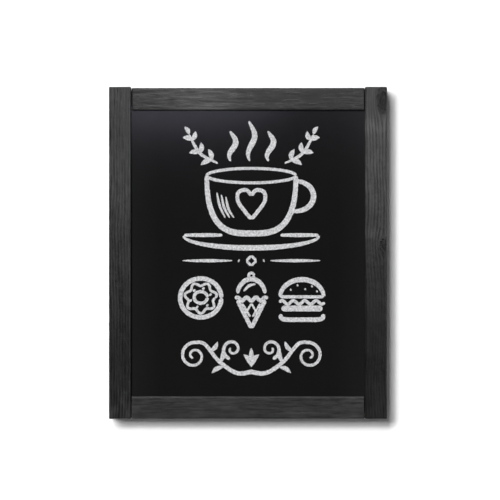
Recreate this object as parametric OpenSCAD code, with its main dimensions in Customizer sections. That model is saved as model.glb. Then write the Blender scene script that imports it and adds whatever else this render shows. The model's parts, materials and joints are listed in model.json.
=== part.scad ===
// Framed chalkboard for a counter or a wall. A leg folds flat into the back of the frame, and two
// notched stays hold it open. X is across, Y is front to back with the front at -Y, and Z is up.
// The origin is at the middle of the frame's bottom face. Lengths are in millimetres.

/* [Frame] */
// Overall width across the two stiles
board_w = 500; // [440:5:600]
// Height of the stiles
board_h = 597; // [560:1:700]
// Width of the stiles, seen from the front
stile_w = 40; // [38:1:50]
// Width of the rails, seen from the front
rail_w = 41; // [38:1:50]
// Thickness of the frame, front to back
frame_t = 22; // [22:0.5:26]
// How far the top rail stops short of the stiles' tops
rail_drop = 2; // [0:0.5:4]
// Radius of the long edges of the frame
arris_r = 2; // [1:0.5:4]
// Radius of the ends of the stiles and rails
end_r = 2; // [1:0.5:3]

/* [Panel] */
// How far the panel is let into the stiles
panel_lap = 10; // [8:1:12]
// How far the panel is let into the rails
rail_lap = 11; // [8:1:13]
// Thickness of the front lip that the panel sits behind
lip_t = 4; // [3:0.5:5]
// Thickness of the black writing surface
surface_t = 0.8; // [0.6:0.1:1.2]
// Thickness of the hardboard behind the writing surface
core_t = 3.2; // [2.5:0.1:3.2]

/* [Leg] */
// Thickness of the leg's bars
leg_t = 12; // [10:0.5:12]
// Width of the leg's bars
leg_bar_w = 30; // [24:1:34]
// Gap on each side of the leg, where the stays lie
leg_side_gap = 8; // [8:0.5:10]
// Angle that the leg opens to
leg_open_angle = 27; // [22:1:30]
// Height of the stays' pivots
stay_pivot_z = 230; // [200:5:260]
// Distance from the stays' pivots up to the studs, with the leg shut
stud_rise = 24.5; // [20:0.5:30]

/* [Hardware] */
// Distance of each hinge from the middle of the board
hinge_x = 130; // [90:5:150]
// Length of each hinge
hinge_len = 40; // [30:5:50]
// Height of the wide ends of the keyholes
hanger_z = 515; // [480:5:530]
// Thickness of the rubber bumpers on the back
bumper_t = 6; // [6:0.5:8]

/* [Hidden] */
$fn = 48;
// Planes of the frame
x_out = board_w / 2;
x_in = x_out - stile_w;
x_wall = x_in + panel_lap;
y_front = -frame_t / 2;
y_back = frame_t / 2;
z_rail_top = board_h - rail_drop;
z_recess_low = rail_w - rail_lap;
z_recess_high = z_rail_top - rail_w + rail_lap;
y_surface = y_front + lip_t;
y_core = y_surface + surface_t;
y_panel_back = y_core + core_t;
x_stile_back = (x_wall + x_out) / 2;
fit = 0.02;
cut = 1;
panel_gap = 0.5;

// Corner dowels
dowel_r = 4;
dowel_len = 50;
dowel_inset = 9;
dowel_pitch = 13;
dowel_z_low = [dowel_inset, dowel_inset + dowel_pitch];
dowel_z_high = [for (z = dowel_z_low) z_rail_top - z];

// Panel points
point_t = 0.8;
point_w = 8;
point_reach = 6;

// Leg
y_leg = y_back - leg_t;
y_leg_mid = y_back - leg_t / 2;
x_leg = x_wall - leg_side_gap;
leg_top_gap = 1;
leg_foot_gap = 6;
z_leg_high = z_recess_high - leg_top_gap;
z_leg_low = z_recess_low + leg_foot_gap;
leg_edge_r = 2;
leg_joint_r = 1;
foot_t = 4;
foot_peg_r = 3;
foot_peg_len = 4;
leg_dowel_r = 3;
leg_dowel_len = 36;
leg_dowel_inset = 8;
leg_dowel_z = [
    for (high = [false, true], side = [-1, 1])
        crossbar_mid_z(high) + side * (leg_bar_w / 2 - leg_dowel_inset)
];
pad_r = 5;
pad_clearance = 0.3;
pad_t = y_leg - y_panel_back - pad_clearance;
pad_inset = 24;
pad_z = [z_leg_low + pad_inset, z_leg_high - pad_inset];
function crossbar_mid_z(high) = high ? z_leg_high - leg_bar_w / 2 : z_leg_low + leg_bar_w / 2;

// Hinges
knuckle_r = 2.4;
knuckle_count = 5;
knuckle_gap = 0.3;
leaf_t = 1.2;
leaf_w = 22;
leaf_lift = 0.2;
hinge_pin_r = 1.2;
pin_clearance = 0.05;
hinge_y = y_back + leaf_lift + knuckle_r;
hinge_z = z_recess_high - leg_top_gap / 2;
hinge_screw_x = [-13, 0, 13];
hinge_screw_z = [15, 8.5, 15];

// Wood screws with a countersunk head
screw_r = 1.5;
screw_head_r = 3;
screw_len = 9.5;
screw_tip_h = 2;

// Stays: one bar of flat steel on each side, seen from the side as it hangs
stay_t = 2;
stay_w = 11;
stay_end_r = 6;
stay_leg_gap = 3;
stay_x = x_leg + stay_leg_gap;
pivot_r = 2.5;
pivot_head_r = 4.5;
pivot_head_t = 1.5;
pivot_depth = 12;
side_gap = 0.3;
neck_r = 2.5;
notch_r = 2.8;
thread_r = 2;
thread_len = 16;
stay_pivot = [y_leg_mid, stay_pivot_z];
stud_shut = [y_leg_mid, stay_pivot_z + stud_rise];
hinge_at = [hinge_y, hinge_z];
stud_open = hinge_at + turned(stud_shut - hinge_at, leg_open_angle);
stay_len = norm(stud_open - stay_pivot);
function turned(p, a) = [p[0] * cos(a) - p[1] * sin(a), p[0] * sin(a) + p[1] * cos(a)];

// Keyhole hangers
hanger_w = 16;
hanger_h = 46;
hanger_t = 1.5;
key_r = 4.5;
key_slot_r = 2.2;
key_rise = 10;
key_pocket_r = 5.5;
key_pocket_t = 6;
hanger_mid_z = hanger_z + key_rise / 2;
hanger_screw_rise = 18;

// Bumpers
bumper_r = 7;
bumper_peg_r = 2.5;
bumper_peg_len = 4;
bumper_z = [16, board_h - 17];

// Magnet catch
magnet_r = 5;
magnet_sunk = 4;
magnet_proud = 3.5;
strike_r = 6;
strike_t = 1.5;

// Colours
stain = [0.19, 0.19, 0.19];
slate_black = [0.09, 0.09, 0.1];
hardboard = [0.36, 0.24, 0.15];
bare_wood = [0.72, 0.56, 0.38];
zinc = [0.72, 0.73, 0.75];
rubber = [0.06, 0.06, 0.06];
felt = [0.25, 0.25, 0.27];

// Helpers -------------------------------------------------------------------------------------

// An outline drawn in Y and Z, given length along X from x0
module along_x(x0, length) {
    translate([x0, 0, 0]) rotate([90, 0, 90]) linear_extrude(length) children();
}

// An outline drawn in X and Z, given length along Y from y0
module along_y(y0, length) {
    translate([0, y0 + length, 0]) rotate([90, 0, 0]) linear_extrude(length) children();
}

// The right-hand piece at side 1, its mirror image at side -1
module on_side(side) {
    if (side < 0) {
        mirror([1, 0, 0]) children();
    } else {
        children();
    }
}

// A box outline from low to high with round corners
module rounded_outline(low, high, r) {
    if (r > 0) {
        translate([low[0] + r, low[1]]) square([high[0] - low[0] - 2 * r, high[1] - low[1]]);
        translate([low[0], low[1] + r]) square([high[0] - low[0], high[1] - low[1] - 2 * r]);
        for (x = [low[0] + r, high[0] - r], y = [low[1] + r, high[1] - r]) {
            translate([x, y]) circle(r = r);
        }
    } else {
        translate(low) square(high - low);
    }
}

// A bar from low to high. r holds the radii of its edges along Z, along Y and along X.
module eased_bar(low, high, r) {
    intersection() {
        translate([0, 0, low[2]]) linear_extrude(high[2] - low[2]) {
            rounded_outline([low[0], low[1]], [high[0], high[1]], r[0]);
        }
        along_y(low[1], high[1] - low[1]) rounded_outline([low[0], low[2]], [high[0], high[2]], r[1]);
        along_x(low[0], high[0] - low[0]) rounded_outline([low[1], low[2]], [high[1], high[2]], r[2]);
    }
}

module box_between(low, high) {
    translate(low) cube(high - low);
}

// A dowel with chamfered ends, along X and centred on x_mid
module dowel(x_mid, y, z, r, length) {
    chamfer = 0.8;
    translate([x_mid - length / 2, y, z]) rotate([0, 90, 0]) rotate_extrude() {
        polygon([
            [0, 0],
            [r - chamfer, 0],
            [r, chamfer],
            [r, length - chamfer],
            [r - chamfer, length],
            [0, length],
        ]);
    }
}

module dowel_hole(x_mid, y, z, r, length) {
    along_x(x_mid - length / 2 - fit, length + 2 * fit) translate([y, z]) circle(r = r + fit);
}

// A countersunk screw pointing down from its head's flat face at z = 0, with a cross in the head
module screw(head_h, length) {
    cross_w = 0.7;
    cross_depth = 0.9;
    cross_len = 1.2 * screw_head_r;
    difference() {
        rotate_extrude() polygon([
            [0, 0],
            [screw_head_r, 0],
            [screw_r, -head_h],
            [screw_r, screw_tip_h - length],
            [0, -length],
        ]);
        for (turn = [0, 90]) {
            rotate([0, 0, turn]) translate([-cross_len / 2, -cross_w / 2, -cross_depth]) {
                cube([cross_len, cross_w, cross_depth + cut]);
            }
        }
    }
}

// What a screw's head and shank need cut away
module screw_hole(head_h, length) {
    rotate_extrude() polygon([
        [0, fit],
        [screw_head_r + fit, fit],
        [screw_r + fit, -head_h],
        [screw_r + fit, -length - fit],
        [0, -length - fit],
    ]);
}

// Turns something that points down so that it points forwards, into the back of the board, from y
module from_back(x, y, z) {
    translate([x, y, z]) rotate([-90, 0, 0]) children();
}

// Where the hinge screws of one hinge sit: side is up for the frame's leaf and down for the leg's
module at_hinge_screws(side, hinge_side) {
    for (i = [0 : len(hinge_screw_x) - 1]) {
        from_back(
            hinge_side * hinge_x + hinge_screw_x[i],
            y_back + leaf_t,
            hinge_z + side * hinge_screw_z[i]
        ) children();
    }
}

module at_hanger_screws() {
    for (rise = [-hanger_screw_rise, hanger_screw_rise]) {
        from_back(x_stile_back, y_back + hanger_t, hanger_mid_z + rise) children();
    }
}

// Two circles of radius r and what lies between them, a key's rise apart
module key_slot_outline(r) {
    translate([x_stile_back, hanger_z]) {
        circle(r = r);
        translate([0, key_rise]) circle(r = r);
        translate([-r, 0]) square([2 * r, key_rise]);
    }
}

// Frame ---------------------------------------------------------------------------------------

module stile() {
    difference() {
        eased_bar([x_in, y_front, 0], [x_out, y_back, board_h], [arris_r, end_r, end_r]);
        box_between([x_in - cut, y_surface, z_recess_low], [x_wall, y_back + cut, z_recess_high]);
        for (z = concat(dowel_z_low, dowel_z_high)) {
            dowel_hole(x_in, 0, z, dowel_r, dowel_len);
        }
        along_x(x_wall - cut, pivot_depth + cut + fit) translate(stay_pivot) circle(r = pivot_r + fit);
        along_y(y_back - key_pocket_t, key_pocket_t + cut) key_slot_outline(key_pocket_r);
        at_hanger_screws() screw_hole(hanger_t, screw_len);
        for (z = bumper_z) {
            from_back(x_stile_back, y_back, z) translate([0, 0, -bumper_peg_len - fit]) {
                cylinder(r = bumper_peg_r + fit, h = bumper_peg_len + cut);
            }
        }
    }
}

// A rail between z0 and z1, with its panel rebate cut from its back between two heights
module rail(z0, z1, rebate_low, rebate_high, dowels) {
    difference() {
        eased_bar([-x_in, y_front, z0], [x_in, y_back, z1], [end_r, 0, arris_r]);
        box_between([-x_in - cut, y_surface, rebate_low], [x_in + cut, y_back + cut, rebate_high]);
        for (side = [-1, 1], z = dowels) {
            dowel_hole(side * x_in, 0, z, dowel_r, dowel_len);
        }
    }
}

module stile_left() {
    color(stain) on_side(-1) stile();
}

module stile_right() {
    color(stain) on_side(1) stile();
}

module rail_top() {
    color(stain) difference() {
        rail(
            z_rail_top - rail_w,
            z_rail_top,
            z_rail_top - rail_w - cut,
            z_recess_high,
            dowel_z_high
        );
        for (side = [-1, 1]) {
            at_hinge_screws(1, side) screw_hole(leaf_t, screw_len);
        }
    }
}

module rail_bottom() {
    color(stain) difference() {
        rail(0, rail_w, z_recess_low, rail_w + cut, dowel_z_low);
        translate([0, y_leg_mid, z_recess_low - magnet_sunk]) {
            cylinder(r = magnet_r + fit, h = magnet_sunk + cut);
        }
    }
}

module corner_dowels() {
    color(bare_wood) for (side = [-1, 1], z = concat(dowel_z_low, dowel_z_high)) {
        dowel(side * x_in, 0, z, dowel_r, dowel_len);
    }
}

// Panel ---------------------------------------------------------------------------------------

module panel_sheet(y0, thickness) {
    box_between(
        [-x_wall + panel_gap, y0, z_recess_low + panel_gap],
        [x_wall - panel_gap, y0 + thickness, z_recess_high - panel_gap]
    );
}

module writing_surface() {
    color(slate_black) panel_sheet(y_surface, surface_t);
}

module panel_core() {
    color(hardboard) panel_sheet(y_core, core_t);
}

// A flat steel point lying on the panel's back, with its tip driven outwards into the frame along +X
module panel_point() {
    along_y(y_panel_back, point_t) polygon([
        [-point_reach, -point_w / 2],
        [0, -point_w / 2],
        [point_reach, 0],
        [0, point_w / 2],
        [-point_reach, point_w / 2],
    ]);
}

module panel_points() {
    z_mid = (z_recess_low + z_recess_high) / 2;
    z_step = (z_recess_high - z_recess_low) / 3;
    x_step = x_wall * 2 / 3;
    color(zinc) {
        for (side = [-1, 1], i = [-1 : 1]) {
            on_side(side) translate([x_wall, 0, z_mid + i * z_step]) panel_point();
        }
        for (i = [-1 : 1]) {
            translate([i * x_step, 0, z_recess_high]) rotate([0, -90, 0]) panel_point();
            translate([i * x_step, 0, z_recess_low]) rotate([0, 90, 0]) panel_point();
        }
    }
}

// Hinges --------------------------------------------------------------------------------------

// One leaf of a butt hinge about its own pin axis. side is 1 for the leaf that points up and -1 for
// down, and first is the number of its first knuckle.
module hinge_leaf(side, first) {
    pitch = hinge_len / knuckle_count;
    leaf_y = -knuckle_r - leaf_lift;
    mine = [for (i = [first : 2 : knuckle_count - 1]) -hinge_len / 2 + (i + 0.5) * pitch];
    knuckle_len = pitch - knuckle_gap;
    clear_z = knuckle_r + knuckle_gap;
    corner_r = 2;
    root_h = 3;
    overlap = 1;
    difference() {
        union() {
            along_y(leaf_y, leaf_t) {
                rounded_outline(
                    [-hinge_len / 2, side > 0 ? clear_z : -leaf_w],
                    [hinge_len / 2, side > 0 ? leaf_w : -clear_z],
                    corner_r
                );
                translate([-hinge_len / 2, side > 0 ? clear_z : -clear_z - root_h]) {
                    square([hinge_len, root_h]);
                }
                for (x = mine) {
                    translate([x - knuckle_len / 2, side > 0 ? 0 : -clear_z - overlap]) {
                        square([knuckle_len, clear_z + overlap]);
                    }
                }
            }
            for (x = mine) {
                along_x(x - knuckle_len / 2, knuckle_len) circle(r = knuckle_r);
            }
        }
        along_x(-hinge_len, 2 * hinge_len) circle(r = hinge_pin_r + pin_clearance);
        for (i = [0 : len(hinge_screw_x) - 1]) {
            translate([hinge_screw_x[i], leaf_y + leaf_t, side * hinge_screw_z[i]]) rotate([-90, 0, 0]) {
                screw_hole(leaf_t, screw_len);
            }
        }
    }
}

module hinge_leaf_fixed(side) {
    color(zinc) translate([side * hinge_x, hinge_y, hinge_z]) hinge_leaf(1, 0);
}

module hinge_leaf_moving(side) {
    color(zinc) translate([side * hinge_x, hinge_y, hinge_z]) hinge_leaf(-1, 1);
}

module hinge_pin(side) {
    head_r = 1.9;
    head_t = 0.8;
    reach = hinge_len / 2;
    color(zinc) translate([side * hinge_x, hinge_y, hinge_z]) {
        along_x(-reach, 2 * reach) circle(r = hinge_pin_r);
        for (end = [-1, 1]) {
            along_x(end > 0 ? reach : -reach - head_t, head_t) circle(r = head_r);
        }
    }
}

module hinge_leaf_fixed_left() {
    hinge_leaf_fixed(-1);
}

module hinge_leaf_fixed_right() {
    hinge_leaf_fixed(1);
}

module hinge_leaf_moving_left() {
    hinge_leaf_moving(-1);
}

module hinge_leaf_moving_right() {
    hinge_leaf_moving(1);
}

module hinge_pin_left() {
    hinge_pin(-1);
}

module hinge_pin_right() {
    hinge_pin(1);
}

module hinge_screws_frame() {
    color(zinc) for (side = [-1, 1]) {
        at_hinge_screws(1, side) screw(leaf_t, screw_len);
    }
}

module hinge_screws_leg() {
    color(zinc) for (side = [-1, 1]) {
        at_hinge_screws(-1, side) screw(leaf_t, screw_len);
    }
}

// Stays ---------------------------------------------------------------------------------------

module stay() {
    hook_z = stay_pivot_z - stay_len;
    along_x(stay_x, stay_t) difference() {
        union() {
            translate(stay_pivot) circle(r = stay_end_r);
            translate([y_leg_mid, hook_z]) circle(r = stay_end_r);
            translate([y_leg_mid - stay_w / 2, hook_z]) square([stay_w, stay_len]);
        }
        translate(stay_pivot) circle(r = pivot_r + pin_clearance);
        translate([y_leg_mid, hook_z]) circle(r = notch_r);
        translate([y_leg_mid - 2 * stay_end_r, hook_z - notch_r]) square([2 * stay_end_r, 2 * notch_r]);
    }
}

module stay_pivot_screw() {
    head_x = stay_x - side_gap - pivot_head_t;
    slot_w = 1.2;
    slot_depth = 0.8;
    difference() {
        union() {
            along_x(head_x, pivot_head_t) translate(stay_pivot) circle(r = pivot_head_r);
            along_x(head_x, x_wall + pivot_depth - head_x) translate(stay_pivot) circle(r = pivot_r);
        }
        box_between(
            [head_x - cut, y_leg_mid - slot_w / 2, stay_pivot_z - pivot_head_r],
            [head_x + slot_depth, y_leg_mid + slot_w / 2, stay_pivot_z + pivot_head_r]
        );
    }
}

module stay_spacer() {
    x0 = stay_x + stay_t + side_gap;
    along_x(x0, x_wall - x0) translate(stay_pivot) difference() {
        circle(r = pivot_head_r);
        circle(r = pivot_r + fit);
    }
}

module stay_stud() {
    collar_r = 3.8;
    flange_r = 4;
    flange_t = 1.3;
    play = 0.5;
    neck_end = stay_x + stay_t + play;
    translate([0, stud_shut[0], stud_shut[1]]) {
        along_x(x_leg - thread_len, thread_len + cut) circle(r = thread_r);
        along_x(x_leg, stay_x - play - x_leg) circle(r = collar_r);
        along_x(x_leg, neck_end - x_leg) circle(r = neck_r);
        along_x(neck_end, flange_t) circle(r = flange_r);
    }
}

module stay_left() {
    color(zinc) on_side(-1) stay();
}

module stay_right() {
    color(zinc) on_side(1) stay();
}

module stay_pivot_screw_left() {
    color(zinc) on_side(-1) stay_pivot_screw();
}

module stay_pivot_screw_right() {
    color(zinc) on_side(1) stay_pivot_screw();
}

module stay_spacer_left() {
    color(zinc) on_side(-1) stay_spacer();
}

module stay_spacer_right() {
    color(zinc) on_side(1) stay_spacer();
}

module stay_stud_left() {
    color(zinc) on_side(-1) stay_stud();
}

module stay_stud_right() {
    color(zinc) on_side(1) stay_stud();
}

// Hangers, bumpers and catch ------------------------------------------------------------------

module hanger_plate() {
    corner_r = 4;
    difference() {
        along_y(y_back, hanger_t) difference() {
            rounded_outline(
                [x_stile_back - hanger_w / 2, hanger_mid_z - hanger_h / 2],
                [x_stile_back + hanger_w / 2, hanger_mid_z + hanger_h / 2],
                corner_r
            );
            key_slot_outline(key_slot_r);
            translate([x_stile_back, hanger_z]) circle(r = key_r);
        }
        at_hanger_screws() screw_hole(hanger_t, screw_len);
    }
}

module hanger_plate_left() {
    color(zinc) on_side(-1) hanger_plate();
}

module hanger_plate_right() {
    color(zinc) on_side(1) hanger_plate();
}

module hanger_screws() {
    color(zinc) for (side = [-1, 1]) {
        on_side(side) at_hanger_screws() screw(hanger_t, screw_len);
    }
}

// A domed rubber disc with a peg, standing out of the back
module bumper() {
    round_r = 2;
    rotate_extrude() {
        square([bumper_r - round_r, bumper_t]);
        square([bumper_r, bumper_t - round_r]);
        translate([bumper_r - round_r, bumper_t - round_r]) circle(r = round_r);
        translate([0, -bumper_peg_len]) square([bumper_peg_r, bumper_peg_len]);
    }
}

module wall_bumpers() {
    color(rubber) for (side = [-1, 1], z = bumper_z) {
        on_side(side) from_back(x_stile_back, y_back, z) bumper();
    }
}

module catch_magnet() {
    color(zinc) translate([0, y_leg_mid, z_recess_low - magnet_sunk]) {
        cylinder(r = magnet_r, h = magnet_sunk + magnet_proud);
    }
}

// Leg -----------------------------------------------------------------------------------------

module leg_upright() {
    difference() {
        eased_bar(
            [x_leg - leg_bar_w, y_leg, z_leg_low],
            [x_leg, y_back, z_leg_high],
            [leg_edge_r, leg_edge_r, leg_edge_r]
        );
        for (z = leg_dowel_z) {
            dowel_hole(x_leg - leg_bar_w, y_leg_mid, z, leg_dowel_r, leg_dowel_len);
        }
        along_x(x_leg - thread_len - fit, thread_len + cut) translate(stud_shut) circle(r = thread_r + fit);
        translate([x_leg - leg_bar_w / 2, y_leg_mid, z_leg_low - cut]) {
            cylinder(r = foot_peg_r + fit, h = foot_peg_len + cut + fit);
        }
    }
}

// A crossbar between the uprights, around height z
module leg_crossbar(z) {
    reach = x_leg - leg_bar_w;
    difference() {
        eased_bar(
            [-reach, y_leg, z - leg_bar_w / 2],
            [reach, y_back, z + leg_bar_w / 2],
            [leg_joint_r, 0, leg_edge_r]
        );
        for (side = [-1, 1], dowel_z = leg_dowel_z) {
            dowel_hole(side * reach, y_leg_mid, dowel_z, leg_dowel_r, leg_dowel_len);
        }
    }
}

module leg_upright_left() {
    color(stain) on_side(-1) leg_upright();
}

module leg_upright_right() {
    color(stain) on_side(1) leg_upright();
}

module leg_crossbar_top() {
    color(stain) difference() {
        leg_crossbar(crossbar_mid_z(true));
        for (side = [-1, 1]) {
            at_hinge_screws(-1, side) screw_hole(leaf_t, screw_len);
        }
    }
}

module leg_crossbar_bottom() {
    color(stain) difference() {
        leg_crossbar(crossbar_mid_z(false));
        at_strike_screw() screw_hole(strike_t, screw_len);
    }
}

module leg_dowels() {
    color(bare_wood) for (side = [-1, 1], z = leg_dowel_z) {
        dowel(side * (x_leg - leg_bar_w), y_leg_mid, z, leg_dowel_r, leg_dowel_len);
    }
}

// A rubber pad under an upright's end, with a peg up into the wood
module leg_foot() {
    corner_r = 3;
    foot_w = leg_bar_w - 2 * leg_edge_r;
    foot_depth = leg_t - leg_edge_r;
    x_mid = x_leg - leg_bar_w / 2;
    eased_bar(
        [x_mid - foot_w / 2, y_leg_mid - foot_depth / 2, z_leg_low - foot_t],
        [x_mid + foot_w / 2, y_leg_mid + foot_depth / 2, z_leg_low],
        [corner_r, 0, 0]
    );
    translate([x_mid, y_leg_mid, z_leg_low - cut]) cylinder(r = foot_peg_r, h = foot_peg_len + cut);
}

module leg_foot_left() {
    color(rubber) on_side(-1) leg_foot();
}

module leg_foot_right() {
    color(rubber) on_side(1) leg_foot();
}

module leg_pads() {
    color(felt) for (side = [-1, 1], z = pad_z) {
        along_y(y_leg - pad_t, pad_t) translate([side * (x_leg - leg_bar_w / 2), z]) circle(r = pad_r);
    }
}

// Turns something that points down so that it points up, into the underside of the bottom crossbar
module at_strike_screw() {
    translate([0, y_leg_mid, z_leg_low - strike_t]) rotate([180, 0, 0]) children();
}

module strike_plate() {
    color(zinc) difference() {
        translate([0, y_leg_mid, z_leg_low - strike_t]) cylinder(r = strike_r, h = strike_t);
        at_strike_screw() screw_hole(strike_t, screw_len);
    }
}

module strike_screw() {
    color(zinc) at_strike_screw() screw(strike_t, screw_len);
}

stile_left();
stile_right();
rail_top();
rail_bottom();
corner_dowels();
writing_surface();
panel_core();
panel_points();
hinge_leaf_fixed_left();
hinge_leaf_fixed_right();
hinge_pin_left();
hinge_pin_right();
hinge_screws_frame();
stay_pivot_screw_left();
stay_pivot_screw_right();
stay_spacer_left();
stay_spacer_right();
hanger_plate_left();
hanger_plate_right();
hanger_screws();
wall_bumpers();
catch_magnet();
leg_upright_left();
leg_upright_right();
leg_crossbar_top();
leg_crossbar_bottom();
leg_dowels();
hinge_leaf_moving_left();
hinge_leaf_moving_right();
hinge_screws_leg();
stay_stud_left();
stay_stud_right();
leg_foot_left();
leg_foot_right();
leg_pads();
strike_plate();
strike_screw();
stay_left();
stay_right();
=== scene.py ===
"""Looks for the framed chalkboard: stained wood, laminate, chalk and hardware, in a pale studio.

Lengths are in metres in the CAD frame: X across, Y from the writing side to the back, Z up.
"""
import itertools
import json
import math
import random

import bmesh
import bpy
import numpy as np
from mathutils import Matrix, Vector, noise


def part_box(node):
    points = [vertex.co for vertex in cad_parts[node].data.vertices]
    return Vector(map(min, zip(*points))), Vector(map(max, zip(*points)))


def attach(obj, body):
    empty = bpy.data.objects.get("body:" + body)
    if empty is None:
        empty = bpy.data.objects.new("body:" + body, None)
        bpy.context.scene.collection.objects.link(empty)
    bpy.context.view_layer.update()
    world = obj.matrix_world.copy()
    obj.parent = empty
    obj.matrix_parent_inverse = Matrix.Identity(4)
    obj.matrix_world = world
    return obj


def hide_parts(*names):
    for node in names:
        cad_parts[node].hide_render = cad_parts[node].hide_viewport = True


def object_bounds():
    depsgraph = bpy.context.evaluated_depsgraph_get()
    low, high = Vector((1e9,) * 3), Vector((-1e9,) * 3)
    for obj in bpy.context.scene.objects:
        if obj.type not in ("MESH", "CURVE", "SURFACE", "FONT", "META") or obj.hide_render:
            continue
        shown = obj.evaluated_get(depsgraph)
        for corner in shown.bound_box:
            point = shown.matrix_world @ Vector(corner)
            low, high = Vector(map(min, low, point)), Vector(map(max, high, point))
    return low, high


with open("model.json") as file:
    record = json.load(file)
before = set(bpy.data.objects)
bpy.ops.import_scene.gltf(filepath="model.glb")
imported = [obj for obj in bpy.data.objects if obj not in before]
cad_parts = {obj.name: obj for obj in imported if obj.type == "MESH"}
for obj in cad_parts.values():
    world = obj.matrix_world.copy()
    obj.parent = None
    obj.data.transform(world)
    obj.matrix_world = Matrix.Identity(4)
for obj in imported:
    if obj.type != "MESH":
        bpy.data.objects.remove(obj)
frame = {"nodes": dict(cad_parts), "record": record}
cad_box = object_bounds()
MM = 0.001


# Studio -------------------------------------------------------------------------------------------

BOARD_LOW, BOARD_HIGH = cad_box
BOARD_MID = (BOARD_LOW + BOARD_HIGH) / 2
WALL_Y = BOARD_HIGH.y + 0.2 * MM
FLOOR_Z = -0.3
LENS_MM = 100
SENSOR_MM = 36
VIEW_WIDTH = 0.8977
CAMERA_X = 3.6 * MM
CAMERA_Z = BOARD_MID.z + 5.2 * MM
WALL_REACH = 1.6
WALL_TOP = 1.9
FLOOR_REACH = 16.0
# How far forward a mirrored ray heads, as Y, where the surround starts and stops being dark
FRONT_TO_SIDE = (-0.75, -0.45)


def make_camera():
    camera = bpy.data.objects.new("camera", bpy.data.cameras.new("camera"))
    bpy.context.collection.objects.link(camera)
    camera.data.lens = LENS_MM
    camera.data.sensor_width = SENSOR_MM
    distance = VIEW_WIDTH * LENS_MM / SENSOR_MM
    camera.location = (CAMERA_X, BOARD_LOW.y - distance, CAMERA_Z)
    camera.rotation_euler = (math.radians(90), 0, 0)
    bpy.context.scene.camera = camera


def make_softbox(
    name, middle, size, distance, radiance, tilt=0.0, shape="RECTANGLE", seen_by=("diffuse", "glossy")
):
    """A lamp whose face is parallel to the board. Its middle and size are slopes seen from the board's
    middle, so the same numbers say where its shadow falls and where the board mirrors it. A negative
    distance is behind. tilt turns it in its own plane, in radians. seen_by names the kinds of reflection
    that it lights.
    """
    light = bpy.data.lights.new(name, "AREA")
    light.shape = shape
    reach = abs(distance)
    light.size, light.size_y = size[0] * reach, size[1] * reach
    filled = math.pi / 4 if shape == "ELLIPSE" else 1
    light.energy = radiance * math.pi * light.size * light.size_y * filled
    holder = bpy.data.objects.new(name, light)
    bpy.context.collection.objects.link(holder)
    holder.location = BOARD_MID + Vector((middle[0] * reach, -distance, middle[1] * reach))
    holder.rotation_euler = (math.radians(90 if distance > 0 else -90), -tilt, 0)
    holder.visible_camera = False
    holder.visible_diffuse = "diffuse" in seen_by
    holder.visible_glossy = "glossy" in seen_by


def make_plane(name, corners, material):
    mesh = bpy.data.meshes.new(name)
    mesh.from_pydata(corners, [], [list(range(len(corners)))])
    plane = bpy.data.objects.new(name, mesh)
    bpy.context.collection.objects.link(plane)
    mesh.materials.append(material)


def make_world(light_level, seen_level, front_level, side_level):
    """A pale surround that the camera sees brighter than the light it gives. A mirrored ray finds it dark
    in front of the board, and paler at the sides and behind.
    """
    world = bpy.data.worlds.new("surround")
    bpy.context.scene.world = world
    world.use_nodes = True
    tree = world.node_tree
    background = tree.nodes["Background"]
    background.inputs["Color"].default_value = (1, 1, 1, 1)
    path = tree.nodes.new("ShaderNodeLightPath")
    heading = tree.nodes.new("ShaderNodeSeparateXYZ")
    tree.links.new(tree.nodes.new("ShaderNodeTexCoord").outputs["Generated"], heading.inputs[0])

    def blend(value, ends, low, high):
        node = tree.nodes.new("ShaderNodeMapRange")
        tree.links.new(value, node.inputs["Value"])
        for socket, setting in zip(("From Min", "From Max", "To Min", "To Max"), (*ends, low, high)):
            if isinstance(setting, bpy.types.NodeSocket):
                tree.links.new(setting, node.inputs[socket])
            else:
                node.inputs[socket].default_value = setting
        return node.outputs["Result"]

    mirrored = blend(heading.outputs["Y"], FRONT_TO_SIDE, front_level, side_level)
    level = blend(path.outputs["Is Glossy Ray"], (0, 1), light_level, mirrored)
    level = blend(path.outputs["Is Camera Ray"], (0, 1), level, seen_level)
    tree.links.new(level, background.inputs["Strength"])


def studio_material(name, colour_level):
    """A material for a sheet of the studio, its tree, its paint, and the mix that feeds its output."""
    material = bpy.data.materials.new(name)
    material.use_nodes = True
    tree = material.node_tree
    tree.nodes.clear()
    out = tree.nodes.new("ShaderNodeOutputMaterial")
    paint = tree.nodes.new("ShaderNodeBsdfDiffuse")
    paint.inputs["Color"].default_value = (colour_level, colour_level, colour_level, 1)
    choose = tree.nodes.new("ShaderNodeMixShader")
    tree.links.new(choose.outputs[0], out.inputs["Surface"])
    return material, tree, paint, choose


def one_sided(tree, choose, paint):
    """Fills the mix, so that the paint is clear from behind and lets every shadow ray through."""
    clear = tree.nodes.new("ShaderNodeBsdfTransparent")
    back = tree.nodes.new("ShaderNodeNewGeometry")
    path = tree.nodes.new("ShaderNodeLightPath")
    either = tree.nodes.new("ShaderNodeMath")
    either.operation = "MAXIMUM"
    tree.links.new(back.outputs["Backfacing"], either.inputs[0])
    tree.links.new(path.outputs["Is Shadow Ray"], either.inputs[1])
    tree.links.new(either.outputs[0], choose.inputs["Fac"])
    tree.links.new(paint.outputs[0], choose.inputs[1])
    tree.links.new(clear.outputs[0], choose.inputs[2])


def wall_paint():
    material, tree, paint, choose = studio_material("wall_paint", colour_level=0.9)
    one_sided(tree, choose, paint)
    return material


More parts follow.
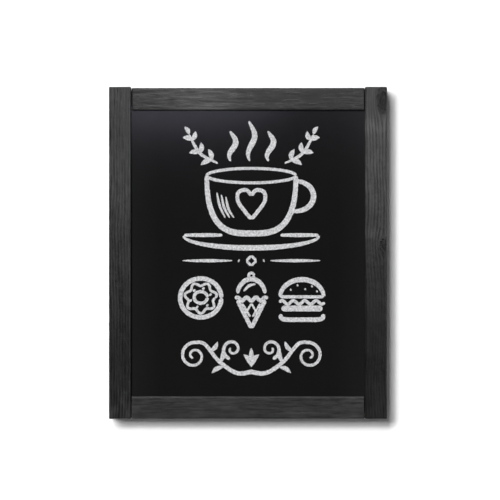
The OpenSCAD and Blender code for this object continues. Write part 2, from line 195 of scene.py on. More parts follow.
def floor_paint():
    """Pale paint that throws little light back up at the object, and stays pale far from the lamps."""
    material, tree, paint, choose = studio_material("floor_paint", colour_level=0.5)
    glow = tree.nodes.new("ShaderNodeEmission")
    glow.inputs["Strength"].default_value = 0.4
    pale = tree.nodes.new("ShaderNodeAddShader")
    tree.links.new(paint.outputs[0], pale.inputs[0])
    tree.links.new(glow.outputs[0], pale.inputs[1])
    dim = tree.nodes.new("ShaderNodeBsdfDiffuse")
    dim.inputs["Color"].default_value = (0.1, 0.1, 0.1, 1)
    path = tree.nodes.new("ShaderNodeLightPath")
    by_ray = tree.nodes.new("ShaderNodeMixShader")
    tree.links.new(path.outputs["Is Camera Ray"], by_ray.inputs["Fac"])
    tree.links.new(dim.outputs[0], by_ray.inputs[1])
    tree.links.new(pale.outputs[0], by_ray.inputs[2])
    one_sided(tree, choose, by_ray)
    return material


def make_studio():
    bpy.context.scene.view_settings.view_transform = "Standard"
    wall = [(-1, FLOOR_Z), (1, FLOOR_Z), (1, WALL_TOP), (-1, WALL_TOP)]
    make_plane("wall", [(WALL_REACH * x, WALL_Y, z) for x, z in wall], wall_paint())
    floor = [(-1, -1), (1, -1), (1, 1), (-1, 1)]
    make_plane("floor", [(FLOOR_REACH * x, FLOOR_REACH * y, FLOOR_Z) for x, y in floor], floor_paint())
    make_world(light_level=0.115, seen_level=0.95, front_level=0.05, side_level=0.5)
    # The keys cast the shadow, the sheens show only as reflections,
    # and the back light reaches the board through the wall
    make_softbox("key_left", (-0.9, 0.52), (0.62, 0.6), 16.0, 21.2, seen_by=("diffuse",))
    make_softbox("key_top", (-0.5, 0.9), (0.6, 0.62), 15.0, 21.2, seen_by=("diffuse",))
    make_softbox("top_sheen", (0.019, 0.39), (1.6, 0.414), 9.0, 2.0, tilt=-0.5, seen_by=("glossy",))
    make_softbox(
        "lamp_sheen", (-0.074, 0.149), (0.221, 0.064), 8.0, 7.6, shape="ELLIPSE", seen_by=("glossy",)
    )
    make_softbox("back_light", (-0.35, 0.6), (1.1, 0.8), -4.0, 9.0)


# Material nodes -----------------------------------------------------------------------------------

# Sockets of the mix node when it mixes colours
COLOUR_A, COLOUR_B, COLOUR_OUT = 6, 7, 2


class Graph:
    """A material's nodes, with a short call for each kind that the materials below use."""

    def __init__(self, name):
        self.material = bpy.data.materials.new(name)
        self.material.use_nodes = True
        self.nodes = self.material.node_tree.nodes
        self.links = self.material.node_tree.links
        self.shader = self.nodes["Principled BSDF"]

    def feed(self, socket, value):
        if isinstance(value, bpy.types.NodeSocket):
            self.links.new(value, socket)
        else:
            socket.default_value = value

    def coordinates(self):
        return self.nodes.new("ShaderNodeTexCoord").outputs["Object"]

    def math(self, operation, *values):
        node = self.nodes.new("ShaderNodeMath")
        node.operation = operation
        for socket, value in zip(node.inputs, values):
            self.feed(socket, value)
        return node.outputs[0]

    def split(self, vector):
        node = self.nodes.new("ShaderNodeSeparateXYZ")
        self.feed(node.inputs[0], vector)
        return node.outputs

    def join(self, x, y, z):
        node = self.nodes.new("ShaderNodeCombineXYZ")
        for socket, value in zip(node.inputs, (x, y, z)):
            self.feed(socket, value)
        return node.outputs[0]

    def stretch(self, places, scales):
        """A point for a noise, with each of its three places scaled on its own."""
        return self.join(*[self.math("MULTIPLY", place, scale) for place, scale in zip(places, scales)])

    def weighted(self, total, *parts):
        """The total plus each (part, weight) in turn."""
        for part, weight in parts:
            total = self.math("ADD", total, self.math("MULTIPLY", part, weight))
        return total

    def noise(self, vector, scale, detail=2.0, roughness=0.5, distortion=0.0):
        node = self.nodes.new("ShaderNodeTexNoise")
        self.feed(node.inputs["Vector"], vector)
        for name, value in (
            ("Scale", scale),
            ("Detail", detail),
            ("Roughness", roughness),
            ("Distortion", distortion),
        ):
            self.feed(node.inputs[name], value)
        return node.outputs["Fac"]

    def ramp(self, value, *stops):
        """Stops are (position, grey level or colour)."""
        node = self.nodes.new("ShaderNodeValToRGB")
        self.feed(node.inputs[0], value)
        elements = node.color_ramp.elements
        while len(elements) < len(stops):
            elements.new(0.5)
        for element, (position, colour) in zip(elements, stops):
            element.position = position
            element.color = (*colour, 1) if isinstance(colour, tuple) else (colour, colour, colour, 1)
        return node.outputs["Color"]

    def remap(self, value, from_low, from_high, to_low, to_high):
        node = self.nodes.new("ShaderNodeMapRange")
        for socket, number in zip(node.inputs, (value, from_low, from_high, to_low, to_high)):
            self.feed(socket, number)
        return node.outputs["Result"]

    def mix(self, factor, first, second):
        node = self.nodes.new("ShaderNodeMix")
        node.data_type = "RGBA"
        self.feed(node.inputs["Factor"], factor)
        for socket, value in ((COLOUR_A, first), (COLOUR_B, second)):
            self.feed(node.inputs[socket], (*value, 1) if isinstance(value, tuple) else value)
        return node.outputs[COLOUR_OUT]

    def attribute(self, name):
        node = self.nodes.new("ShaderNodeAttribute")
        node.attribute_name = name
        return node.outputs["Fac"]

    def bump(self, height, distance, strength):
        node = self.nodes.new("ShaderNodeBump")
        self.feed(node.inputs["Height"], height)
        node.inputs["Distance"].default_value = distance
        node.inputs["Strength"].default_value = strength
        self.links.new(node.outputs[0], self.shader.inputs["Normal"])

    def surface(self, **inputs):
        for name, value in inputs.items():
            socket = self.shader.inputs[name.replace("_", " ")]
            self.feed(socket, (*value, 1) if isinstance(value, tuple) else value)
        return self.material


YEAR_RING = 4.9 * MM
# Radians of ripple for each metre out from a knot's heart
KNOT_RINGS = 1.1 / MM
# How many times paler than the stain's palest streaks its rubbed edges are. Where the edges pale strongly,
# this is also a painted highlight along them.
RUBBED_AND_LIT_TINT = (1.9, 1.85, 1.8)


def stained_wood(
    name, along, middle, dark, light, pith, stripes, rough, seed, edge_wear_and_highlight=0.35, slope=0.0, knots=(), stain_and_sheen_bands=()
):
    """Black-stained softwood whose grain runs along X or Z. Places are measured from the bar's middle.

    dark and light are the grey levels of its darkest and palest streaks, and rough their roughness.
    pith is where the tree's centre line passes, as (across, through). stripes is how clearly its rings
    show, and seed picks its place in the noise.
    The edge paling is how far the arrises have rubbed pale, and where it is strong, a painted highlight
    along them too. slope is how much the grain runs out of the face.
    knots is a list of (across, along, radius).
    The bands are a list of (along, half length, amount) where the bar is paler or darker: partly real
    stain, and partly painted highlight and shade that follow where the lamps' sheen is strong or weak.
    """
    g = Graph(name)
    x, y, z = g.split(g.coordinates())
    x = g.math("SUBTRACT", x, middle.x)
    y = g.math("SUBTRACT", y, middle.y)
    z = g.math("SUBTRACT", z, middle.z)
    across, length = (x, z) if along == "Z" else (z, x)

    near = g.stretch((g.math("ADD", across, seed), y, length), (25.0, 25.0, 9.0))
    warp = g.math("SUBTRACT", g.noise(near, 1.0, 2.0), 0.5)
    place = g.join(across, y, length)
    dents = g.math("SUBTRACT", g.noise(place, 70.0, 3.0, 0.6), 0.5)
    swirls = g.math("SUBTRACT", g.noise(place, 130.0, 2.0, 0.5, 1.6), 0.5)
    flow, hearts = across, []
    for knot_across, knot_along, knot_radius in knots:
        away = g.math("SUBTRACT", across, knot_across)
        up = g.math("MULTIPLY", g.math("SUBTRACT", length, knot_along), 0.5)
        squared = g.math("ADD", g.math("MULTIPLY", away, away), g.math("MULTIPLY", up, up))
        reach = knot_radius * knot_radius * 1.5
        pushed = g.math("DIVIDE", reach, g.math("ADD", squared, reach * 0.3))
        flow = g.math("SUBTRACT", flow, g.math("MULTIPLY", away, pushed))
        distance = g.math("ADD", g.math("SQRT", squared), g.math("MULTIPLY", swirls, knot_radius * 1.5))
        rings = g.math("SINE", g.math("MULTIPLY", distance, KNOT_RINGS))
        inside = g.remap(distance, knot_radius * 0.6, knot_radius * 1.5, 1.0, 0.0)
        hearts.append((inside, g.math("MULTIPLY", inside, rings)))

    drift = g.math("SUBTRACT", g.noise(g.join(seed, 0.0, g.math("MULTIPLY", length, 6.0)), 1.0, 1.5), 0.5)
    bent = g.weighted(flow, (drift, YEAR_RING * 2.2))
    side = g.math("SUBTRACT", bent, pith[0])
    depth = g.math("SUBTRACT", y, pith[1])
    squared = g.math("ADD", g.math("MULTIPLY", side, side), g.math("MULTIPLY", depth, depth))
    radius = g.math("SQRT", squared)
    radius = g.weighted(radius, (length, slope), (warp, YEAR_RING * 1.5))
    year = g.math("FRACT", g.math("DIVIDE", radius, YEAR_RING))
    late = g.ramp(year, (0.0, 0.3), (0.15, 0.0), (0.45, 0.3), (0.75, 1.0), (0.9, 1.0), (1.0, 0.3))

    def stretched(per_across, per_along, detail, crispness=0.55):
        scaled = g.stretch((g.math("ADD", bent, seed), y, length), (per_across, per_across, per_along))
        return g.math("SUBTRACT", g.noise(scaled, 1.0, detail, crispness), 0.5)

    fibre = stretched(900.0, 20.0, 2.0, 0.6)
    streak = stretched(330.0, 14.0, 2.0)
    flame = stretched(110.0, 9.0, 2.5)
    blotch = stretched(26.0, 16.0, 3.0)
    figure = stretched(200.0, 40.0, 3.0, 0.6)
    tone = g.math("ADD", g.math("MULTIPLY", g.math("SUBTRACT", late, 0.45), stripes), 0.5)
    tone = g.weighted(tone, (fibre, 0.8), (streak, 1.0), (flame, 0.9), (figure, 1.5), (dents, 0.6))
    relief = g.math("MULTIPLY", late, 0.5 * stripes)
    relief = g.weighted(relief, (fibre, 0.7), (streak, 0.8), (dents, 2.6), (figure, 2.4))
    roughness = g.remap(tone, 0.0, 1.0, *rough)
    for inside, curls in hearts:
        tone = g.math("MULTIPLY", tone, g.remap(inside, 0.0, 1.0, 1.0, 0.2))
        tone = g.weighted(tone, (curls, 0.75))
        lumps = g.math("MULTIPLY", inside, swirls)
        relief = g.weighted(relief, (curls, 1.8), (inside, 3.0), (lumps, 26.0))
        roughness = g.weighted(roughness, (g.math("ADD", inside, curls), 0.15))
    tone = g.math("MINIMUM", g.math("MAXIMUM", tone, 0.0), 1.0)

    # Blotches are real stain. The bands add painted highlight and shade as well as stain, paler where the
    # lamps' sheen is strong.
    stain_and_sheen_paleness = g.math("ADD", blotch, 1.0)
    for band_along, half, amount in stain_and_sheen_bands:
        off = g.math("DIVIDE", g.math("SUBTRACT", length, band_along), half)
        hump = g.math("EXPONENT", g.math("MULTIPLY", g.math("MULTIPLY", off, off), -1.0))
        stain_and_sheen_paleness = g.weighted(stain_and_sheen_paleness, (hump, amount))
    level = g.math("MULTIPLY", g.remap(tone, 0.0, 1.0, dark, light), stain_and_sheen_paleness)
    # Rubbed edges turn paler; where the paling is strong, as on the bottom rail, it is also a painted
    # highlight along the arrises.
    rubbed = g.math("MULTIPLY", g.attribute("wear"), g.remap(streak, -0.15, 0.2, 0.15, 1.0))
    colour = g.mix(g.math("MULTIPLY", rubbed, edge_wear_and_highlight), level, tuple(light * tint for tint in RUBBED_AND_LIT_TINT))
    g.bump(relief, 0.16 * MM, 0.8)
    return g.surface(Base_Color=colour, Roughness=roughness, Specular_IOR_Level=0.5)


def chalk_laminate():
    """Matt black laminate with a faint haze of wiped chalk, and a paler band beside the stiles that is
    partly dust and partly painted light lifting the shade the stiles cast.
    """
    g = Graph("chalk_laminate")
    place = g.coordinates()
    x, _, z = g.split(place)
    haze = g.noise(g.join(x, 0.0, g.math("MULTIPLY", z, 0.6)), 9.0, 4.0, 0.6, 0.8)
    wiped = g.noise(g.join(g.math("MULTIPLY", x, 0.5), 0.0, g.math("MULTIPLY", z, 2.4)), 60.0, 3.0, 0.6)
    dust_and_rim_light = g.math("MULTIPLY", g.remap(haze, 0.45, 0.8, 0.0, 1.0), g.remap(wiped, 0.35, 0.75, 0.2, 1.0))
    grain = g.noise(place, 2600.0, 2.0)
    # Beside the stiles the board turns paler: partly dust, and partly painted light that lifts the shade
    # the stiles cast.
    rim_start, rim_end = 160 * MM, 212 * MM
    rim = g.remap(g.math("ABSOLUTE", x), rim_start, rim_end, 0.0, 1.0)
    dust_and_rim_light = g.math("ADD", g.math("MULTIPLY", dust_and_rim_light, 0.25), g.math("MULTIPLY", rim, 0.45))
    bare, dust_and_light_grey = 0.0056, 0.0108
    colour = g.mix(dust_and_rim_light, (bare, bare, bare), (dust_and_light_grey, dust_and_light_grey, dust_and_light_grey))
    g.bump(grain, 0.005 * MM, 0.35)
    return g.surface(
        Base_Color=colour,
        Roughness=g.remap(g.noise(place, 40.0, 3.0), 0.3, 0.7, 0.11, 0.123),
        Specular_IOR_Level=0.1,
        Specular_Tint=(0.86, 0.86, 1.09),
    )


def chalk_line():
    """Dry chalk: it sits on the high points of the board, so the line is mottled with small dark gaps."""
    g = Graph("chalk_line")
    place = g.coordinates()
    coarse = g.noise(place, 300.0, 3.0, 0.6)
    fine = g.noise(place, 800.0, 2.0, 0.7)
    cover = g.math("ADD", g.math("MULTIPLY", coarse, 0.5), g.math("MULTIPLY", fine, 0.5))
    thin, usual, thick = (0.22, 0.22, 0.23), (0.44, 0.44, 0.45), (0.64, 0.64, 0.65)
    colour = g.ramp(cover, (0.36, thin), (0.5, usual), (0.62, thick))
    g.bump(cover, 0.12 * MM, 0.6)
    return g.surface(Base_Color=colour, Roughness=0.95, Specular_IOR_Level=0.2)


def hardboard():
    """Brown fibreboard with the woven print of the press on its rough side."""
    g = Graph("hardboard")
    place = g.coordinates()
    x, _, z = g.split(place)
    fibre = g.noise(place, 700.0, 4.0, 0.65, 1.5)
    cloud = g.noise(place, 14.0, 3.0)
    wires = 3.4 / MM
    warp, weft = (g.math("SINE", g.math("MULTIPLY", side, wires)) for side in (x, z))
    weave = g.math("MULTIPLY", warp, weft)
    tone = g.math("ADD", g.math("MULTIPLY", fibre, 0.6), g.math("MULTIPLY", cloud, 0.4))
    tone = g.math("ADD", tone, g.math("MULTIPLY", weave, 0.06))
    dark, middle, pale = (0.085, 0.045, 0.022), (0.15, 0.083, 0.042), (0.22, 0.13, 0.07)
    colour = g.ramp(tone, (0.3, dark), (0.5, middle), (0.7, pale))
    g.bump(g.math("ADD", weave, fibre), 0.15 * MM, 0.6)
    return g.surface(Base_Color=colour, Roughness=0.78)


def beech():
    g = Graph("beech")
    grain = g.noise(g.stretch(g.split(g.coordinates()), (60.0, 900.0, 900.0)), 1.0)
    colour = g.ramp(grain, (0.3, (0.42, 0.27, 0.15)), (0.7, (0.62, 0.44, 0.27)))
    g.bump(grain, 0.1 * MM, 0.5)
    return g.surface(Base_Color=colour, Roughness=0.6)


def zinc_steel():
    """Zinc-plated steel: a cool satin metal with fine rolling marks and a faint warm passivation."""
    g = Graph("zinc_steel")
    place = g.coordinates()
    marks = g.noise(g.stretch(g.split(place), (250.0, 2500.0, 2500.0)), 1.0, 2.0)
    cloud = g.noise(place, 90.0, 3.0, 0.6)
    colour = g.mix(g.remap(cloud, 0.35, 0.7, 0.0, 1.0), (0.56, 0.58, 0.61), (0.63, 0.6, 0.53))
    rough = g.math("ADD", g.remap(cloud, 0.3, 0.7, 0.26, 0.38), g.math("MULTIPLY", marks, 0.12))
    g.bump(marks, 0.02 * MM, 0.5)
    return g.surface(Base_Color=colour, Metallic=1.0, Roughness=rough)


def nickel():
    g = Graph("nickel")
    cloud = g.noise(g.coordinates(), 300.0, 3.0)
    return g.surface(
        Base_Color=g.ramp(cloud, (0.3, (0.6, 0.57, 0.52)), (0.7, (0.72, 0.69, 0.64))),
        Metallic=1.0,
        Roughness=g.remap(cloud, 0.3, 0.7, 0.14, 0.24),
    )


def soft_rubber():
    g = Graph("soft_rubber")
    place = g.coordinates()
    bloom = g.noise(place, 160.0, 4.0, 0.6)
    g.bump(g.noise(place, 2200.0, 2.0), 0.05 * MM, 0.5)
    return g.surface(
        Base_Color=g.ramp(bloom, (0.35, 0.012), (0.7, 0.028)),
        Roughness=g.remap(bloom, 0.3, 0.7, 0.62, 0.8),
    )


def wool_felt():
    g = Graph("wool_felt")
    place = g.coordinates()
    fuzz = g.noise(place, 1800.0, 4.0, 0.7, 2.0)
    g.bump(fuzz, 0.3 * MM, 0.8)
    return g.surface(
        Base_Color=g.ramp(fuzz, (0.3, 0.03), (0.7, 0.085)),
        Roughness=0.97,
        Sheen_Weight=0.4,
    )


# Wood bars ----------------------------------------------------------------------------------------

# Turns of a round edge, in degrees, that get a row of points
EDGE_TURNS = (15, 30)
# Depths that sanding takes off a bar, in millimetres: on average, in long waves and in ripples
SANDED, SANDED_WAVES, SANDED_RIPPLES = 0.1, 0.08, 0.03
WAVES_PER_M, RIPPLES_PER_M, WEAR_PER_M = 14, 90, 40
# How much deeper a rubbed edge is worn
EDGE_WEAR = 0.35 * MM
SHARP_ANGLE = math.radians(32)
# Sides of each round end of a slot cutter
SLOT_END_SIDES = 12


def stops(low, high, radius, step):
    """Places along one side of a bar: close together round its edges, and about a step apart between.
    Where the steps are long, one more place near each end keeps the edge's shading off the flat part.
    """
    turns = [radius * math.tan(math.radians(a)) for a in EDGE_TURNS]
    count = max(1, round((high - low - 2 * radius) / step))
    inner = [low + radius + (high - low - 2 * radius) * i / count for i in range(count + 1)]
    if step > 2 * radius:
        inner = [inner[0], inner[0] + radius, *inner[1:-1], inner[-1] - radius, inner[-1]]
    lead_in = [low + radius - t for t in (radius, *reversed(turns))]
    lead_out = [high - radius + t for t in (*turns, radius)]
    return lead_in + inner + lead_out


def hand_finish(point, seed):
    """How far sanding has taken a bar's surface down at a point: long shallow waves and short ones."""
    waves = noise.noise(point * WAVES_PER_M + Vector((seed, 0, 0)))
    ripples = noise.noise(point * RIPPLES_PER_M + Vector((0, seed, 0)))
    return (SANDED + SANDED_WAVES * waves + SANDED_RIPPLES * ripples) * MM


def eased_bar(name, low, high, radius, steps, seed):
    """A closed bar with round edges whose radius wanders a little, as hand-sanded ones do."""
    low, high = Vector(low), Vector(high)
    axes = [stops(low[i], high[i], radius, steps[i]) for i in range(3)]
    counts = [len(a) for a in axes]
    index, points = {}, []

    def vertex(i, j, k):
        if (i, j, k) not in index:
            index[i, j, k] = len(points)
            points.append(Vector((axes[0][i], axes[1][j], axes[2][k])))
        return index[i, j, k]

    faces = []
    for axis in range(3):
        u, v = [a for a in range(3) if a != axis]
        for end in (0, counts[axis] - 1):
            for a in range(counts[u] - 1):
                for b in range(counts[v] - 1):
                    corner = [0, 0, 0]
                    corner[axis] = end
                    loop = []
                    for da, db in ((0, 0), (1, 0), (1, 1), (0, 1)):
                        corner[u], corner[v] = a + da, b + db
                        loop.append(vertex(*corner))
                    outward = (end == 0) == (axis == 1)
                    faces.append(loop if outward else loop[::-1])

    inner_low = low + Vector((radius,) * 3)
    inner_high = high - Vector((radius,) * 3)
    wear = []
    for p in points:
        core = Vector(min(max(p[i], inner_low[i]), inner_high[i]) for i in range(3))
        offset = p - core
        edge = sorted(abs(c) for c in offset)[1] / radius
        rubbed = 0.5 + 0.5 * noise.noise(p * WEAR_PER_M + Vector((seed, 0, 0)))
        wear.append(min(1.0, edge * 1.6) * rubbed)
        bare = hand_finish(p, seed) + edge * rubbed * EDGE_WEAR
        p[:] = core + offset.normalized() * (radius - bare)

    mesh = bpy.data.meshes.new(name)
    mesh.from_pydata([tuple(p) for p in points], [], faces)
    mesh.attributes.new("wear", "FLOAT", "POINT").data.foreach_set("value", wear)
    return add_piece(name, mesh)


def add_piece(name, mesh):
    piece = bpy.data.objects.new(name, mesh)
    bpy.context.collection.objects.link(piece)
    return piece


def face_outward(mesh):
    shape = bmesh.new()
    shape.from_mesh(mesh)
    bmesh.ops.recalc_face_normals(shape, faces=shape.faces)
    shape.to_mesh(mesh)
    shape.free()


def add_cutter(low, high, radius=0.0):
    """A box, or a slot with round ends along Z where a radius is given, for cutting a bar."""
    mesh = bpy.data.meshes.new("cutter")
    if radius:
        middle = (low[0] + high[0]) / 2
        outline = []
        for centre, start in ((high[2] - radius, 0), (low[2] + radius, 180)):
            for i in range(SLOT_END_SIDES + 1):
                a = math.radians(start + 180 * i / SLOT_END_SIDES)
                outline.append((middle + radius * math.cos(a), centre + radius * math.sin(a)))
        count = len(outline)
        points = [(x, y, z) for y in (low[1], high[1]) for x, z in outline]
        faces = [list(range(count)), list(range(2 * count - 1, count - 1, -1))]
        faces += [[i, i + count, (i + 1) % count + count, (i + 1) % count] for i in range(count)]
    else:
        points = list(itertools.product(*zip(low, high)))
        faces = [[0, 1, 3, 2], [4, 6, 7, 5], [0, 4, 5, 1], [2, 3, 7, 6], [0, 2, 6, 4], [1, 5, 7, 3]]
    mesh.from_pydata(points, [], faces)
    face_outward(mesh)
    return add_piece("cutter", mesh)


def cut(piece, *cutters):
    """Takes the cutters' shapes out of the piece, then removes the cutters."""
    for cutter in cutters:
        modifier = piece.modifiers.new("cut", "BOOLEAN")
        modifier.operation = "DIFFERENCE"
        modifier.solver = "EXACT"
        modifier.object = cutter
    graph = bpy.context.evaluated_depsgraph_get()
    mesh = bpy.data.meshes.new_from_object(piece.evaluated_get(graph))
    piece.modifiers.clear()
    piece.data = mesh
    for cutter in cutters:
        bpy.data.objects.remove(cutter)


def finish_bar(piece, node, body, material):
    """Stands a bar in for its CAD node, and lets it ride on that node's body."""
    piece.data.materials.clear()
    piece.data.materials.append(material)
    for polygon in piece.data.polygons:
        polygon.use_smooth = True
    piece.data.set_sharp_from_angle(angle=SHARP_ANGLE)
    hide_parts(node)
    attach(piece, body)


EDGE_R = 2.0 * MM
# Open joints at the left and right ends of a rail or crossbar
JOINT_GAPS = {"rail_top": (0.9 * MM, 0.5 * MM), "rail_bottom": (0.8 * MM, 0.7 * MM)}
USUAL_GAPS = (0.5 * MM, 0.5 * MM)
FACE_STEP = 2.5 * MM
LONG_STEP = 9 * MM
PANEL_LOW, PANEL_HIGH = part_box("panel_core")
SURFACE_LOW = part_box("writing_surface")[0]
PANEL_GAP = 0.5 * MM
# How far a cutter reaches past the face that it cuts
CUT_PAST = 10 * MM
KEY_POCKET_R = 5.5 * MM
KEY_POCKET_DEPTH = 6 * MM
# Ends of the pocket behind a keyhole, up from the hanger plate's lower end
KEY_POCKET_ENDS = (12.5 * MM, 33.5 * MM)


def recess_cutter():
    """The rebate for the panel, and the recess behind it where the leg lies."""
    low = (PANEL_LOW.x - PANEL_GAP, SURFACE_LOW.y, PANEL_LOW.z - PANEL_GAP)
    high = (PANEL_HIGH.x + PANEL_GAP, BOARD_HIGH.y + CUT_PAST, PANEL_HIGH.z + PANEL_GAP)
    return add_cutter(low, high)


def keyhole_pocket(side):
    low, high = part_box("hanger_plate_" + side)
    middle = (low.x + high.x) / 2
    return add_cutter(
        (middle - KEY_POCKET_R, low.y - KEY_POCKET_DEPTH, low.z + KEY_POCKET_ENDS[0]),
        (middle + KEY_POCKET_R, low.y + CUT_PAST, low.z + KEY_POCKET_ENDS[1]),
        radius=KEY_POCKET_R,
    )


def make_bar(node, body, along, material, seed, cutters=()):
    """The rounded and cut bar that stands in for a CAD node."""
    low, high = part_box(node)
    steps = [FACE_STEP] * 3
    steps["XYZ".index(along)] = LONG_STEP
    if along == "X":
        left_gap, right_gap = JOINT_GAPS.get(node, USUAL_GAPS)
        low.x += left_gap
        high.x -= right_gap
    piece = eased_bar(node + "_wood", low, high, EDGE_R, steps, seed)
    if cutters:
        cut(piece, *cutters)
    finish_bar(piece, node, body, material)


def middle_of(node):
    low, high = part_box(node)
    return (low + high) / 2


# The bands are partly real stain and partly painted light: they make the stiles mostly paler high up and
# darker low down, and paint a highlight on the top rail left of its middle, where the lamps' sheen falls.
FRAME_LOOKS = {
    "stile_left": dict(
        along="Z",
        stripes=0.6,
        rough=(0.28, 0.32),
        dark=0.001,
        light=0.018,
        pith=(0.16, 0.05),
        seed=1.3,
        stain_and_sheen_bands=[
            (0.275, 0.025, 0.55),
            (0.215, 0.02, -0.2),
            (0.12, 0.07, 0.85),
            (-0.175, 0.08, -0.45),
            (-0.29, 0.03, 0.8),
        ],
    ),
    "stile_right": dict(
        along="Z",
        stripes=0.8,
        rough=(0.28, 0.32),
        dark=0.001,
        light=0.015,
        pith=(-0.14, 0.03),
        seed=4.1,
        knots=[(14 * MM, 276.5 * MM, 11 * MM), (14 * MM, 14 * MM, 6 * MM)],
        stain_and_sheen_bands=[
            (0.28, 0.02, 0.3),
            (0.226, 0.018, 2.0),
            (0.15, 0.09, 1.4),
            (0.035, 0.01, 1.0),
            (-0.17, 0.17, -0.78),
        ],
    ),
    "rail_top": dict(
        along="X",
        stripes=0.25,
        rough=(0.42, 0.2),
        dark=0.0022,
        light=0.0098,
        pith=(0.05, 0.045),
        slope=0.012,
        seed=7.7,
        stain_and_sheen_bands=[(-0.09, 0.085, 3.4), (0.15, 0.1, -0.8)],
    ),
    # The bottom rail's paler stain paints the sheen that its crosswise grain catches from the lamps above,
    # and its strong edge paling is partly wear and partly a painted highlight along its arrises.
    "rail_bottom": dict(
        along="X",
        stripes=0.25,
        rough=(0.28, 0.32),
        edge_wear_and_highlight=0.8,
        dark=0.008,
        light=0.029,
        pith=(-0.04, 0.05),
        slope=-0.008,
        seed=11.9,
    ),
}
LEG_STAIN = dict(stripes=0.6, rough=(0.3, 0.36), dark=0.005, light=0.02)
LEG_LOOKS = {
    "leg_upright_left": dict(along="Z", pith=(0.01, -0.05), seed=15.0),
    "leg_upright_right": dict(along="Z", pith=(-0.016, -0.06), seed=18.4),
    "leg_crossbar_top": dict(along="X", pith=(0.012, -0.05), seed=21.7, slope=0.01),
    "leg_crossbar_bottom": dict(along="X", pith=(-0.01, -0.06), seed=25.2, slope=-0.006),
}


def make_woodwork():
    for node, look in FRAME_LOOKS.items():
        cutters = [recess_cutter()]
        if node.startswith("stile"):
            cutters.append(keyhole_pocket(node.split("_")[1]))
        material = stained_wood("stain_" + node, middle=middle_of(node), **look)
        make_bar(node, "frame", look["along"], material, look["seed"], cutters)
    for node, look in LEG_LOOKS.items():
        material = stained_wood("stain_" + node, middle=middle_of(node), **LEG_STAIN, **look)
        make_bar(node, "leg", look["along"], material, look["seed"])


# Chalk drawing ------------------------------------------------------------------------------------
# A stroke is a list of (across, up) points, in millimetres from the middle of the drawing, and its width
# as a function of how far along it one is, from 0 to 1.

# Middle of the drawing, in millimetres
DRAW_X = 6.0
DRAW_Z = 303.5
# How much wider every drawn line is than the width given with it
BOLDNESS = 1.15
# Spacing of the points along a stroke, its ragged edge, and its least half width, all in millimetres
STROKE_STEP = 1.6
STROKE_RAGGED = 0.28
LEAST_HALF = 0.3
# Gap under the chalk and its least thickness, in millimetres. Strokes that cross lie at slightly different
# heights, so that their faces don't fight.
CHALK_GAP = 0.01
CHALK_T = 0.12
CHALK_STEP = 0.004
CHALK_LEVELS = 20


def arc(centre, radii, start, end, count=48):
    angles = np.radians(np.linspace(start, end, count))
    return [(centre[0] + radii[0] * math.cos(a), centre[1] + radii[1] * math.sin(a)) for a in angles]


def line(start, end, count=24):
    run, rise = end[0] - start[0], end[1] - start[1]
    return [(start[0] + run * t, start[1] + rise * t) for t in np.linspace(0, 1, count)]


def wave(start, end, height, cycles, count, phase=0.0):
    """A line with even sideways waves. phase is where in a wave it starts, in radians."""
    points = []
    direction = Vector((end[0] - start[0], end[1] - start[1]))
    sideways = Vector((-direction.y, direction.x)).normalized()
    for t in np.linspace(0, 1, count):
        swing = height * math.sin(2 * math.pi * cycles * t + phase)
        points.append(tuple(Vector(start) + direction * t + sideways * swing))
    return points


def spiral(centre, radius, end_radius, start, end, count):
    points = []
    for t in np.linspace(0, 1, count):
        r = radius + (end_radius - radius) * t
        a = math.radians(start + (end - start) * t)
        points.append((centre[0] + r * math.cos(a), centre[1] + r * math.sin(a)))
    return points


def smooth(points, count):
    """A Catmull-Rom curve through the points."""
    padded = [points[0], *points, points[-1]]
    curve = []
    for t in np.linspace(0, len(points) - 1 - 1e-9, count):
        i, f = int(t), t - int(t)
        a, b, c, d = (np.array(padded[i + j]) for j in range(4))
        square, cube = 2 * a - 5 * b + 4 * c - d, 3 * b - a - 3 * c + d
        curve.append(tuple(0.5 * (2 * b + (c - a) * f + square * f**2 + cube * f**3)))
    return curve


def swelling(width, ends=0.4):
    """A stroke width that is fullest at the middle. ends is the share of it that the ends keep."""
    return lambda t: BOLDNESS * width * (ends + (1 - ends) * math.sin(math.pi * t) ** 0.8)


def even(width):
    return lambda t: BOLDNESS * width


def mirrored(points):
    return [(-x, z) for x, z in points]


def leaf(root, angle, length, width):
    """A short bowed stroke that swells like a leaf."""
    a = math.radians(angle)
    tip = (root[0] + length * math.cos(a), root[1] + length * math.sin(a))
    bow = (-math.sin(a) * length * 0.12, math.cos(a) * length * 0.12)
    middle = ((root[0] + tip[0]) / 2 + bow[0], (root[1] + tip[1]) / 2 + bow[1])

    def fullness(t):
        return width * max(0.12, math.sin(math.pi * min(1.0, t * 0.94 + 0.05)) ** 0.9)

    return smooth([root, middle, tip], 24), fullness


def draw_cup():
    rim_z, half, depth = 134, 80, 104
    strokes = [(arc((0, rim_z), (half, 13), 0, 360, 80), even(4.6))]
    body = []
    for a in np.radians(np.linspace(180, 360, 70)):
        c, s = math.cos(a), math.sin(a)
        x, down = half * math.copysign(abs(c) ** 0.62, c), depth * math.copysign(abs(s) ** 0.8, s)
        body.append((x, rim_z + down))
    strokes.append((body, swelling(9.5, 0.7)))
    strokes.append((arc((80, 97), (32, 27), 98, -104, 50), swelling(8.5, 0.6)))
    strokes.append((arc((0, 26), (122, 22), 180, 360, 80), swelling(8.5, 0.4)))
    for side in (-1, 1):
        strokes.append((line((side * 121, 27), (side * 52, 27)), swelling(6, 0.7)))
    heart = smooth([(0, 98), (9, 108), (23, 104), (24, 88), (12, 70), (0, 56)], 40)
    for flip in (lambda p: p, mirrored):
        strokes.append((flip(heart), even(6)))
    for i, x in enumerate((-62, -54, -46)):
        strokes.append((smooth([(x, 104 - 4 * i), (x + 5, 80 - 3 * i), (x + 15, 58)], 20), swelling(4)))
    return strokes


